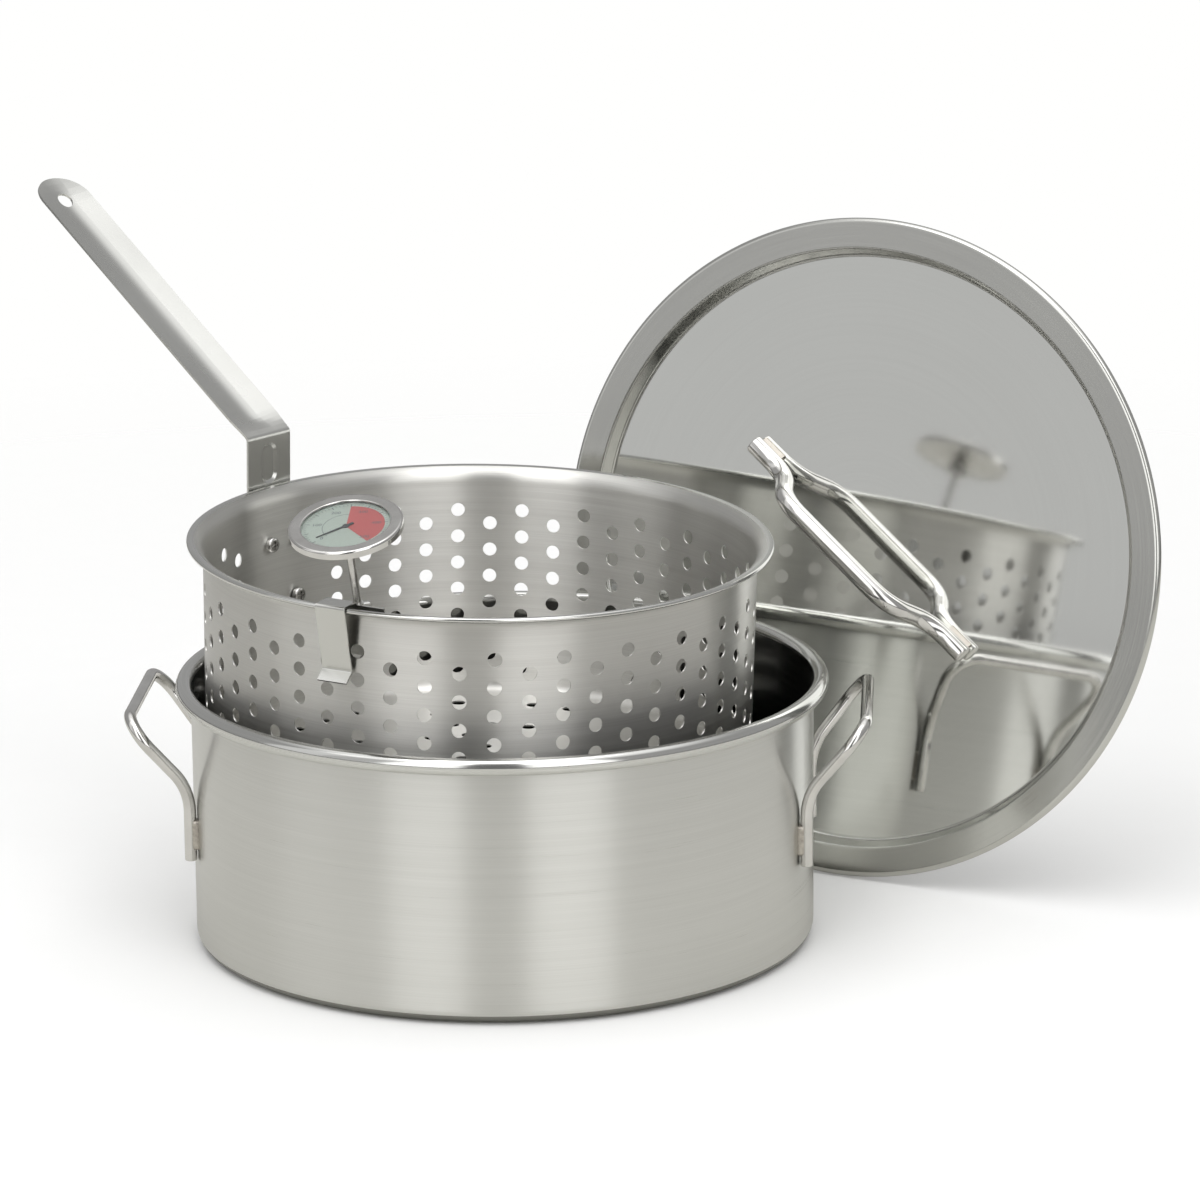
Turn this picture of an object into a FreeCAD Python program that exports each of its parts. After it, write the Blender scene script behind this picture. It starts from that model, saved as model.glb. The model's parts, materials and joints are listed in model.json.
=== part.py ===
"""Fry pot kit: a wide pot, a perforated basket that hooks on the pot's rim by its
long handle, a dial thermometer in a rim clip, and a recessed lid that stands on
its edge beside the pot.

Millimetres, +Z up.  The origin is the centre of the pot's base, on the surface
that it stands on.  +X runs through the right pot handle.
"""
import FreeCAD
import Part
import Sketcher
import math
import os

Vector = FreeCAD.Vector
Placement = FreeCAD.Placement
Rotation = FreeCAD.Rotation
ORIGIN = Vector(0, 0, 0)
X_AXIS = Vector(1, 0, 0)
Y_AXIS = Vector(0, 1, 0)
Z_AXIS = Vector(0, 0, 1)

doc = FreeCAD.newDocument("fry_pot_kit")

# ---------------------------------------------------------------- driving sizes
SIZES = {
    # pot: straight drawn wall, rim rolled outwards
    "pot_radius": 152.4,
    "pot_height": 131.2,
    "pot_sheet": 0.8,
    "pot_corner": 6.5,
    "pot_roll": 4.1,
    "pot_roll_open": 80,
    # pot handles: one bent rod each
    "ear_rod": 3,
    "ear_gap": 0.3,
    "ear_foot_half": 41.5,
    "ear_foot_low": 45.5,
    "ear_foot_high": 81.5,
    "ear_grip_out": 178.6,
    "ear_grip_half": 53.5,
    "ear_grip_height": 117.5,
    "ear_bend": 14,
    "ear_foot_bend": 30,
    "ear_weld_low": 51,
    "ear_weld_long": 15,
    "ear_weld_reach": 3.8,
    "ear_weld_round": 0.45,
    # basket: sizes from its rim plane, which is at height 0 of its own frame
    "basket_rim_radius": 143.35,
    "basket_edge_roll": 1.2,
    "basket_cove": 6.8,
    "basket_foot_radius": 134.2,
    "basket_depth": 118,
    "basket_sheet": 0.7,
    "basket_corner": 6,
    "hole_radius": 3.5,
    "hole_first": 21.1,
    "hole_step": 13.9,
    "hole_columns": 48,
    "hole_turn": 7,
    "hole_rows": 7,
    "blank_towards": 143,
    "floor_ring_holes": 6,
    "floor_ring_step": 18.5,
    "floor_rings": 6,
    # basket pose in the kit: hooked on the pot's rim and leaning a little
    "basket_off_x": -10.3,
    "basket_off_y": 7.55,
    "basket_rim_height": 195.2,
    "basket_lean": 1.95,
    "basket_lean_towards": -45.3,
    "grip_towards": 142.3,
    # basket handle: one stamping, strap below and shallow trough grip above
    "strap_sheet": 1.2,
    "strap_wide": 30,
    "strap_bend": 2.4,
    "strap_out": 144.75,
    "strap_wall_gap": 0.06,
    "strap_joggle_low": -12,
    "strap_joggle_high": -3.4,
    "strap_knee": 27.2,
    "groove_middle": 12.4,
    "groove_half_long": 10.6,
    "groove_half_wide": 5.5,
    "groove_deep": 1.1,
    "groove_slope": 1.5,
    "hook_height": -67.95,
    "hook_out": 146.2,
    "hook_lip": -76,
    "grip_start": 1.5,
    "grip_rise": 34.6,
    "grip_wide": 32,
    "grip_trough": 3.2,
    "grip_crease": 5.6,
    "grip_blend": 14,
    "grip_shallow": 0.12,
    "grip_tip_trough": 0.9,
    "grip_fade": 7,
    "grip_end": 14.8,
    "hang_hole": 4.3,
    "hang_hole_along": 174.5,
    # screws, washers and nuts of the basket handle (M4)
    "screw_radius": 2,
    "screw_head": 4,
    "screw_head_high": 2.5,
    "screw_recess": 1.3,
    "screw_cross_half": 2.2,
    "screw_cross_wide": 0.8,
    "screw_head_round": 1.4,
    "screw_slack": 0.1,
    "seat_gap": 0.07,
    "contact_gap": 0.02,
    "screw_long": 8,
    "screw_half_wide": 9.2,
    "screw_upper": -26.5,
    "screw_lower": -56.2,
    "washer_radius": 4.5,
    "washer_high": 0.8,
    "nut_flats": 7,
    "nut_high": 3.2,
    # thermometer clip
    "clip_sheet": 0.8,
    "clip_towards": -114.4,
    "clip_wide": 15.4,
    "clip_plate_wide": 31,
    "clip_plate_low": -26,
    "clip_top": 1.95,
    "clip_out": 144.9,
    "clip_grip_radius": 136.9,
    "clip_grip_height": -31,
    "clip_tab_out": 142.6,
    "clip_tab_low": -35.4,
    "clip_bend": 1.1,
    "loop_high": 5,
    "loop_upper": -4,
    "loop_lower": -19,
    "stem_clearance": 0.06,
    "plate_gap": 0.5,
    "bridge_drop": 7,
    "plate_start": 1.4,
    # thermometer, in its own frame: height 0 where its stem passes the rim plane
    "dial_towards": -111.85,
    "dial_lean": 16.55,
    "stem_at_rim": 128.9,
    "stem_radius": 1.9,
    "stem_bore": 1.5,
    "stem_long": 127,
    "face_height": 44,
    "bezel_radius": 27.1,
    "bezel_opening": 21,
    "bezel_high": 3.7,
    "bezel_sheet": 0.6,
    "bezel_round": 1.3,
    "opening_round": 0.5,
    "fit_gap": 0.03,
    "rim_slack": 0.1,
    "lens_thick": 0.8,
    "gasket_thick": 0.8,
    "gasket_wide": 2.2,
    "dial_thick": 0.4,
    "dial_slack": 0.2,
    "case_sheet": 0.5,
    "case_hub": 5,
    "case_deep": 3.2,
    "case_wall_high": 0.6,
    "case_hub_sheet": 0.9,
    "fitting_flats": 9,
    "fitting_high": 7,
    "fitting_stop": 1.5,
    "stem_end_solid": 3,
    "stem_end_round": 1.1,
    "spindle_radius": 0.55,
    "spindle_slack": 0.4,
    "spindle_overlap": 3,
    "needle_long": 16,
    "needle_tail": 4,
    "needle_half_tail": 0.8,
    "needle_half_tip": 0.2,
    "needle_thick": 0.3,
    "needle_hub": 1.6,
    "needle_lift": 0.25,
    "needle_turn": -34,
    "coil_radius": 1.05,
    "coil_wire": 0.22,
    "coil_pitch": 2,
    "coil_long": 30,
    "coil_above_end": 1,
    # lid: rim plane at height 0 of its own frame, outside face upwards
    "lid_radius": 167.15,
    "lid_sheet": 0.7,
    "lid_flange_inner": 152.6,
    "lid_panel_radius": 149,
    "lid_panel_height": -8,
    "lid_lip": 2.6,
    "lid_panel_bend": 1.6,
    "lid_step_bend": 1.2,
    "lid_distance_x": 170.76,
    "lid_distance_y": 112.35,
    "lid_faces": -116.24,
    "lid_lean": 8.825,
    # lid handle: one bent rod
    "bow_rod": 4.8,
    "bow_gap": 0.3,
    "bow_turn": 53.4,
    "bow_end": 79,
    "bow_foot": 54.5,
    "bow_grip": 38.7,
    "bow_high": 30.5,
    "bow_bend": 20,
    "bow_weld_from": 63,
    "bow_weld_long": 14,
    "bow_weld_half": 5.4,
    "bow_weld_high": 3,
    "bow_weld_slope": 0.75,
}

sheet = doc.addObject("Spreadsheet::Sheet", "Sizes")
for row, (alias, number) in enumerate(SIZES.items(), start=1):
    sheet.set(f"A{row}", alias)
    sheet.set(f"B{row}", str(number))
    sheet.setAlias(f"B{row}", alias)
doc.recompute()


def size(expression):
    """The number that an expression over the sheet's aliases gives."""
    result = sheet.evalExpression(expression)
    return float(getattr(result, "Value", result))


# ---------------------------------------------------------------- small helpers
def origin_plane(body, role):
    """One of a body's own origin planes, found by its role."""
    return [f for f in body.Origin.OriginFeatures if f.Role == role][0]


def new_body(name):
    body = doc.addObject("PartDesign::Body", name)
    body.Label = name
    return body


def pin_vertex(sketch, geometry, end, across, up):
    """Bind one end point of a sketch element to two expressions."""
    if across == "0":
        sketch.addConstraint(Sketcher.Constraint("PointOnObject", geometry, end, -2))
    else:
        index = sketch.addConstraint(
            Sketcher.Constraint("DistanceX", -1, 1, geometry, end, size(across)))
        sketch.setExpression(f"Constraints[{index}]", across)
    if up == "0":
        sketch.addConstraint(Sketcher.Constraint("PointOnObject", geometry, end, -1))
    else:
        index = sketch.addConstraint(
            Sketcher.Constraint("DistanceY", -1, 1, geometry, end, size(up)))
        sketch.setExpression(f"Constraints[{index}]", up)


def arc_between(start, finish, radius, sweep):
    """Arc from start to finish, and whether the sketch holds it in that direction.
    A sweep above 0 turns left on the way and below 0 right; 2 and -2 turn by more
    than half a circle."""
    middle = (start + finish) * 0.5
    way = finish - start
    rise = math.sqrt(max(radius * radius - way.Length ** 2 / 4, 0.0))
    left = Vector(-way.y, way.x, 0).normalize()
    centre = middle + left * (rise * {1: 1, -1: -1, 2: -1, -2: 1}[sweep])
    circle = Part.Circle(centre, Z_AXIS, radius)
    first, last = (start, finish) if sweep > 0 else (finish, start)
    angles = [math.atan2(p.y - centre.y, p.x - centre.x) for p in (first, last)]
    if angles[1] <= angles[0]:
        angles[1] += 2 * math.pi
    return Part.ArcOfCircle(circle, angles[0], angles[1]), sweep > 0


def outline(body, name, plane, corners):
    """Closed sketch through corners.  A corner is (across, up), or
    (across, up, radius, sweep) where the element that leaves it is an arc."""
    sketch = body.newObject("Sketcher::SketchObject", name)
    sketch.AttachmentSupport = [(origin_plane(body, plane), "")]
    sketch.MapMode = "FlatFace"
    points = [Vector(size(c[0]), size(c[1]), 0) for c in corners]
    count = len(corners)
    ends = []
    for index, corner in enumerate(corners):
        start, finish = points[index], points[(index + 1) % count]
        if len(corner) == 2:
            sketch.addGeometry(Part.LineSegment(start, finish), False)
            ends.append((1, 2))
            continue
        arc, forward = arc_between(start, finish, size(corner[2]), corner[3])
        element = sketch.addGeometry(arc, False)
        ends.append((1, 2) if forward else (2, 1))
        radius = sketch.addConstraint(
            Sketcher.Constraint("Radius", element, size(corner[2])))
        sketch.setExpression(f"Constraints[{radius}]", corner[2])
    for index, corner in enumerate(corners):
        following = (index + 1) % count
        sketch.addConstraint(Sketcher.Constraint(
            "Coincident", index, ends[index][1], following, ends[following][0]))
        pin_vertex(sketch, index, ends[index][0], corner[0], corner[1])
    return sketch


def turned(name, corners):
    """Body of revolution about Z from an outline in the XZ plane."""
    body = new_body(name)
    sketch = outline(body, name + "_profile", "XZ_Plane", corners)
    turn = body.newObject("PartDesign::Revolution", name + "_turn")
    turn.Profile = sketch
    turn.ReferenceAxis = (sketch, ["V_Axis"])
    turn.Angle = 360
    doc.recompute()
    return body


def feature(name, shape):
    made = doc.addObject("Part::Feature", name)
    made.Label = name
    made.Shape = shape
    return made


def bent_path(points, radii):
    """Wire of straight runs joined by tangent arcs, one radius for each inner point."""
    edges = []
    last = points[0]
    for before, corner, after, radius in zip(points, points[1:], points[2:], radii):
        back = (before - corner).normalize()
        ahead = (after - corner).normalize()
        half = back.getAngle(ahead) / 2
        reach = radius / math.tan(half)
        to_centre = (back + ahead).normalize()
        middle = corner + to_centre * (radius / math.sin(half) - radius)
        edges.append(Part.LineSegment(last, corner + back * reach).toShape())
        edges.append(Part.Arc(corner + back * reach, middle, corner + ahead * reach).toShape())
        last = corner + ahead * reach
    edges.append(Part.LineSegment(last, points[-1]).toShape())
    return Part.Wire(edges)


def rod(points, rod_radius, bend_radii):
    """Round rod along a bent path, cut square at both ends."""
    path = bent_path(points, bend_radii)
    start_way = (points[1] - points[0]).normalize()
    section = Part.Wire(Part.Circle(points[0], start_way, rod_radius).toShape())
    return path.makePipeShell([section], True, True)


def strip(points, sheet_thick, bend_radius, wide):
    """Flat strip bent along a path in the XZ plane, centred on that path and on y = 0."""
    left, right = [], []
    for index, point in enumerate(points):
        ways = []
        if index > 0:
            ways.append((point - points[index - 1]).normalize())
        if index < len(points) - 1:
            ways.append((points[index + 1] - point).normalize())
        mean = (ways[0] + ways[-1]).normalize()
        across = Vector(-mean.z, 0, mean.x)
        stretch = sheet_thick / 2 / math.cos(ways[0].getAngle(ways[-1]) / 2)
        left.append(point + across * stretch)
        right.append(point - across * stretch)
    edges = []
    for line, sign in ((left, 1), (right, -1)):
        radii = []
        for before, corner, after in zip(points, points[1:], points[2:]):
            turn = (corner - before).cross(after - corner).y
            inner = (turn < 0) == (sign > 0)
            radii.append(bend_radius - sheet_thick / 2 if inner else bend_radius + sheet_thick / 2)
        edges.append(bent_path(line, radii))
    caps = [Part.LineSegment(left[0], right[0]).toShape(),
            Part.LineSegment(left[-1], right[-1]).toShape()]
    parts = edges[0].Edges + edges[1].Edges + caps
    wire = Part.Wire(Part.__sortEdges__(parts))
    face = Part.Face(wire)
    solid = face.extrude(Vector(0, wide, 0))
    solid.translate(Vector(0, -wide / 2, 0))
    return solid


def hexagon(flats, high, base):
    """Hexagonal prism across Z, its lower face at height base."""
    corner = flats / math.sqrt(3)
    points = [Vector(corner * math.cos(math.radians(60 * k)),
                     corner * math.sin(math.radians(60 * k)), base) for k in range(7)]
    return Part.Face(Part.makePolygon(points)).extrude(Vector(0, 0, high))


# ---------------------------------------------------------------- poses
def turn_z(degrees):
    return Placement(ORIGIN, Rotation(Z_AXIS, degrees))


lean_axis = Rotation(Z_AXIS, size("basket_lean_towards") + 90).multVec(X_AXIS)
BASKET = Placement(
    Vector(size("basket_off_x"), size("basket_off_y"), size("basket_rim_height")),
    Rotation(lean_axis, size("basket_lean")))
GRIP = BASKET * turn_z(size("grip_towards"))
CLIP = BASKET * turn_z(size("dial_towards"))
DIAL = CLIP * Placement(Vector(size("stem_at_rim"), 0, 0), Rotation(Y_AXIS, size("dial_lean")))
lid_lean = math.radians(size("lid_lean"))
LID = Placement(
    Vector(size("lid_distance_x"), size("lid_distance_y"),
           size("lid_radius") * math.cos(lid_lean) + size("lid_lip") * math.sin(lid_lean)),
    Rotation(Z_AXIS, size("lid_faces")) * Rotation(Y_AXIS, 90 - size("lid_lean")))
BOW = LID * turn_z(size("bow_turn"))

nodes = []


def keep(made, pose=Placement()):
    """Set a finished sub-part in its place and list it for export."""
    made.Placement = pose
    nodes.append(made)
    return made


# ---------------------------------------------------------------- pot
def pot_shell():
    """Straight wall with a rounded base corner; the rim is rolled outwards."""
    opened = math.radians(size("pot_roll_open"))
    curl = f"{math.cos(opened):.9f}"
    drop = f"{math.sin(opened):.9f}"
    centre = "(Sizes.pot_radius - Sizes.pot_sheet + Sizes.pot_roll)"
    level = "(Sizes.pot_height - Sizes.pot_roll)"
    inner = "(Sizes.pot_roll - Sizes.pot_sheet)"
    body = turned("pot_shell", [
        ("0", "0"),
        ("Sizes.pot_radius - Sizes.pot_corner", "0", "Sizes.pot_corner", 1),
        ("Sizes.pot_radius", "Sizes.pot_corner"),
        ("Sizes.pot_radius", level, "Sizes.pot_roll - Sizes.pot_sheet", -2),
        (f"{centre} + {inner} * {curl}", f"{level} - {inner} * {drop}"),
        (f"{centre} + Sizes.pot_roll * {curl}", f"{level} - Sizes.pot_roll * {drop}",
         "Sizes.pot_roll", 2),
        ("Sizes.pot_radius - Sizes.pot_sheet", level),
        ("Sizes.pot_radius - Sizes.pot_sheet", "Sizes.pot_corner",
         "Sizes.pot_corner - Sizes.pot_sheet", -1),
        ("Sizes.pot_radius - Sizes.pot_corner", "Sizes.pot_sheet"),
        ("0", "Sizes.pot_sheet"),
    ])
    return keep(body)


def ear_points():
    """Route of one pot handle, outwards along +X: foot, slant, grip, slant, foot."""
    radius = size("pot_radius + ear_gap + ear_rod")
    foot_half = size("ear_foot_half")
    foot_out = math.sqrt(radius ** 2 - foot_half ** 2)
    low, high = size("ear_foot_low"), size("ear_foot_high")
    half = [Vector(foot_out, foot_half, low), Vector(foot_out, foot_half, high),
            Vector(size("ear_grip_out"), size("ear_grip_half"), size("ear_grip_height"))]
    mirrored = [Vector(p.x, -p.y, p.z) for p in reversed(half)]
    return half + mirrored


def ear_welds():
    """One nugget between each foot and the wall."""
    points = ear_points()
    low, tall = size("ear_weld_low"), size("ear_weld_long")
    reach = size("ear_weld_reach")
    wall = Part.makeCylinder(size("pot_radius"), tall * 2, Vector(0, 0, low - tall / 2))
    nuggets = []
    for foot in (points[0], points[-1]):
        inwards = Vector(-foot.x, -foot.y, 0).normalize()
        seat = Vector(foot.x, foot.y, low) + inwards * size("ear_rod")
        lump = Part.makeCylinder(reach, tall, seat)
        lump = lump.makeFillet(reach * size("ear_weld_round"),
                               [e for e in lump.Edges if len(e.Vertexes) == 1])
        shaft = Part.makeCylinder(size("ear_rod"), tall * 2,
                                  Vector(foot.x, foot.y, low - tall / 2))
        nuggets.append(lump.cut(wall).cut(shaft).Solids[0])
    return Part.makeCompound(nuggets)


def pot_ears():
    foot_bend, bend = size("ear_foot_bend"), size("ear_bend")
    shape = rod(ear_points(), size("ear_rod"), [foot_bend, bend, bend, foot_bend])
    welds = ear_welds()
    for side, degrees in (("right", 0), ("left", 180)):
        keep(feature(f"pot_handle_{side}", shape.copy()), turn_z(degrees))
        keep(feature(f"pot_handle_welds_{side}", welds.copy()), turn_z(degrees))


# ---------------------------------------------------------------- basket
def hole_cutters():
    """Staggered side holes with a blank stretch behind the handle, and floor rings."""
    radius = size("hole_radius")
    reach = size("basket_rim_radius - basket_foot_radius + basket_corner")
    inside = size("basket_foot_radius - basket_corner")
    first, step = size("hole_first"), size("hole_step")
    columns, turn = int(size("hole_columns")), size("hole_turn")
    start = size("blank_towards") - (360 - turn * (columns - 1)) / 2
    drill = Part.makeCylinder(radius, reach, Vector(inside, 0, 0), X_AXIS)
    cutters = []
    for column in range(columns):
        shifted = column % 2
        for level in range(int(size("hole_rows")) - shifted):
            hole = drill.copy()
            hole.translate(Vector(0, 0, -first - step * (level + shifted / 2)))
            hole.rotate(ORIGIN, Z_AXIS, start - turn * column)
            cutters.append(hole)
    sheet_thick = size("basket_sheet")
    low = -size("basket_depth") - sheet_thick
    ring_step = size("floor_ring_step")
    for ring in range(int(size("floor_rings")) + 1):
        count = max(1, int(size("floor_ring_holes")) * ring)
        for index in range(count):
            angle = 2 * math.pi * index / count
            seat = Vector(ring_step * ring * math.cos(angle),
                          ring_step * ring * math.sin(angle), low)
            cutters.append(Part.makeCylinder(radius, 3 * sheet_thick, seat))
    return Part.makeCompound(cutters)


def basket_shell():
    """Perforated shell: coved flare and a tight rolled edge at the rim."""
    inner_cove = "(Sizes.basket_cove + Sizes.basket_sheet)"
    edge = "(Sizes.basket_rim_radius - Sizes.basket_edge_roll)"
    cove_level = "(Sizes.basket_edge_roll - Sizes.basket_cove - Sizes.basket_sheet)"
    floor = "(-1 * Sizes.basket_depth)"
    shell = turned("basket_blank", [
        ("0", floor),
        ("Sizes.basket_foot_radius - Sizes.basket_corner", floor, "Sizes.basket_corner", 1),
        ("Sizes.basket_foot_radius", f"{floor} + Sizes.basket_corner"),
        (f"{edge} - Sizes.basket_cove", cove_level, "Sizes.basket_cove", -1),
        (edge, f"{cove_level} + Sizes.basket_cove"),
        (edge, "Sizes.basket_edge_roll", inner_cove, 1),
        (f"{edge} - {inner_cove}", cove_level),
        ("Sizes.basket_foot_radius - Sizes.basket_sheet", f"{floor} + Sizes.basket_corner",
         "Sizes.basket_corner - Sizes.basket_sheet", -1),
        ("Sizes.basket_foot_radius - Sizes.basket_corner", f"{floor} + Sizes.basket_sheet"),
        ("0", f"{floor} + Sizes.basket_sheet"),
    ])
    roll = doc.addObject("Part::Torus", "basket_edge")
    roll.setExpression("Radius1", "Sizes.basket_rim_radius - Sizes.basket_edge_roll")
    roll.setExpression("Radius2", "Sizes.basket_edge_roll")
    rolled = doc.addObject("Part::Fuse", "basket_rolled")
    rolled.Base = shell
    rolled.Tool = roll
    drills = feature("basket_hole_cutters", hole_cutters())
    screws = feature("basket_screw_cutters", screw_holes())
    screws.Placement = turn_z(size("grip_towards"))
    drilled = doc.addObject("Part::Cut", "basket_drilled")
    drilled.Base = rolled
    drilled.Tool = drills
    made = doc.addObject("Part::Cut", "basket_shell")
    made.Label = "basket_shell"
    made.Base = drilled
    made.Tool = screws
    doc.recompute()
    return keep(made, BASKET)


def wall_radius(height):
    """Outside radius of the basket's wall at a height in the basket's frame."""
    top = size("basket_edge_roll - basket_cove - basket_sheet")
    bottom = size("basket_corner - basket_depth")
    share = (height - bottom) / (top - bottom)
    foot = size("basket_foot_radius")
    wide = size("basket_rim_radius - basket_edge_roll - basket_cove")
    return foot + share * (wide - foot)


def screw_seats():
    """Middle of each screw hole on the strap, in the handle's frame."""
    for height in (size("screw_upper"), size("screw_lower")):
        for side in (-1, 1):
            yield Vector(wall_radius(height), side * size("screw_half_wide"), height)


def at_screws(shape_along_z, offset):
    """Copies of a shape made along +Z, set along the outward radius at each screw."""
    copies = []
    for seat in screw_seats():
        copy = shape_along_z.copy()
        copy.Placement = Placement(Vector(seat.x + offset, seat.y, seat.z),
                                   Rotation(Y_AXIS, 90))
        copies.append(copy)
    return Part.makeCompound(copies)


def screw_holes():
    """Cutters for the four screw holes, in the handle's frame."""
    long = size("screw_long")
    return at_screws(Part.makeCylinder(size("screw_radius + screw_slack"), 2 * long), -long)


def trough(along, half, deep):
    """Section of the grip at a distance along it: two flanks and a rounded crease."""
    crease = size("grip_crease")
    slope = deep / (half - crease / 2)
    level = -slope * (half - crease)
    top = [Vector(along, y, z) for y, z in (
        (-half, 0), (-crease, level), (0, -deep), (crease, level), (half, 0))]
    low = [point - Vector(0, 0, size("strap_sheet")) for point in top]
    return Part.Wire([
        Part.LineSegment(top[0], top[1]).toShape(),
        Part.Arc(top[1], top[2], top[3]).toShape(),
        Part.LineSegment(top[3], top[4]).toShape(),
        Part.LineSegment(top[4], low[4]).toShape(),
        Part.LineSegment(low[4], low[3]).toShape(),
        Part.Arc(low[3], low[2], low[1]).toShape(),
        Part.LineSegment(low[1], low[0]).toShape(),
        Part.LineSegment(low[0], top[0]).toShape()])


def smooth(share):
    return share * share * (3 - 2 * share)


def grip_trough():
    """Grip along +X: flat at the knee, a shallow trough, and a round drilled end."""
    hole, end = size("hang_hole_along"), size("grip_end")
    narrow, half = size("strap_wide") / 2, size("grip_wide") / 2
    flat, deep, tip = size("grip_shallow"), size("grip_trough"), size("grip_tip_trough")
    steps = 5
    sections = []
    for step in range(steps + 1):
        share = smooth(step / steps)
        sections.append(trough(size("grip_blend") * step / steps,
                               narrow + (half - narrow) * share, flat + (deep - flat) * share))
    fade = size("grip_fade")
    for step in range(steps + 1):
        share = step / steps
        sections.append(trough(hole - fade + (fade + end) * share, half,
                               deep + (tip - deep) * smooth(share)))
    grip = Part.makeLoft(sections, True, True)
    rounded = Part.Face(Part.Wire(Part.Ellipse(
        Vector(hole, half, 0), Vector(hole + end, 0, 0), Vector(hole, 0, 0)).toShape()))
    straight = Part.makePlane(hole, 2 * half, Vector(0, -half, 0))
    tall = Vector(0, 0, 4 * deep)
    plate = rounded.extrude(tall).fuse(straight.extrude(tall))
    plate.translate(tall * -0.5)
    drill = Part.makeCylinder(size("hang_hole"), tall.z, Vector(hole, 0, -tall.z / 2))
    return grip.common(plate).cut(drill)


def groove(face):
    """Press tool of the strap's groove: a sloped slot from a face at x outwards."""
    wires = []
    for depth, inset in ((0, 0), (size("groove_deep"), size("groove_slope"))):
        wide = size("groove_half_wide") - inset
        straight = size("groove_half_long") - inset - wide
        x, middle = face + depth, size("groove_middle")
        corner = [Vector(x, y * wide, middle + z * straight)
                  for y, z in ((-1, 1), (1, 1), (1, -1), (-1, -1))]
        wires.append(Part.Wire([
            Part.Arc(corner[0], Vector(x, 0, middle + straight + wide), corner[1]).toShape(),
            Part.LineSegment(corner[1], corner[2]).toShape(),
            Part.Arc(corner[2], Vector(x, 0, middle - straight - wide), corner[3]).toShape(),
            Part.LineSegment(corner[3], corner[0]).toShape()]))
    return Part.makeLoft(wires, True, True)


def basket_handle():
    """One stamping: hook, strap on the wall, joggle past the rim, knee and grip."""
    thick = size("strap_sheet")
    face = thick / 2 + size("strap_wall_gap")
    joggle, hook = size("strap_joggle_low"), size("hook_height")
    knee = Vector(size("strap_out"), 0, size("strap_knee"))
    rise = math.radians(size("grip_rise"))
    ahead = Vector(math.cos(rise), 0, math.sin(rise))
    over = Vector(-math.sin(rise), 0, math.cos(rise))
    start = size("grip_start")
    strap = strip([
        Vector(size("hook_out"), 0, size("hook_lip")),
        Vector(size("hook_out"), 0, hook),
        Vector(wall_radius(hook) + face, 0, hook),
        Vector(wall_radius(joggle) + face, 0, joggle),
        Vector(size("strap_out"), 0, size("strap_joggle_high")),
        knee,
        knee + ahead * (start + size("strap_wall_gap"))],
        thick, size("strap_bend"), size("strap_wide"))
    inner_face = size("strap_out") - thick / 2
    strap = strap.fuse(groove(inner_face + thick)).cut(groove(inner_face))
    grip = grip_trough()
    grip.Placement = Placement(knee + ahead * start + over * (thick / 2),
                               Rotation(Y_AXIS, -size("grip_rise")))
    shape = strap.fuse(grip).removeSplitter().cut(screw_holes())
    return keep(feature("basket_handle", shape.Solids[0]), GRIP)


def fasteners():
    """Pan-head screws driven from inside, with a washer and a nut on the strap."""
    radius, head, high = size("screw_radius"), size("screw_head"), size("screw_head_high")
    sheet_in, gap, seat = size("basket_sheet"), size("contact_gap"), size("seat_gap")
    wall = wall_radius(size("screw_upper")) - sheet_in
    curve = wall - math.sqrt(wall ** 2 - (size("screw_half_wide") + head) ** 2)
    pan = Part.makeCylinder(head, high)
    pan = pan.makeFillet(size("screw_head_round"),
                         [e for e in pan.Edges if e.BoundBox.ZMax < high / 2])
    shank = Part.makeCylinder(radius, size("screw_long") + sheet_in, Vector(0, 0, high))
    half, wide = size("screw_cross_half"), size("screw_cross_wide")
    slot = Part.makeBox(2 * half, wide, size("screw_recess"), Vector(-half, -wide / 2, 0))
    cross = slot.fuse(slot.rotated(ORIGIN, Z_AXIS, 90))
    screw = pan.fuse(shank).removeSplitter().cut(cross)
    keep(feature("basket_handle_screws",
                 at_screws(screw, -sheet_in - curve - high - seat)), GRIP)
    strap_face = size("strap_wall_gap + strap_sheet") + seat
    washer_high = size("washer_high")
    washer = Part.makeCylinder(size("washer_radius"), washer_high)
    washer = washer.cut(Part.makeCylinder(radius + size("screw_slack"), washer_high))
    keep(feature("basket_handle_washers", at_screws(washer, strap_face)), GRIP)
    nut = hexagon(size("nut_flats"), size("nut_high"), 0)
    nut = nut.cut(Part.makeCylinder(radius + gap, size("nut_high")))
    keep(feature("basket_handle_nuts", at_screws(nut, strap_face + washer_high + gap)), GRIP)


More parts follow.
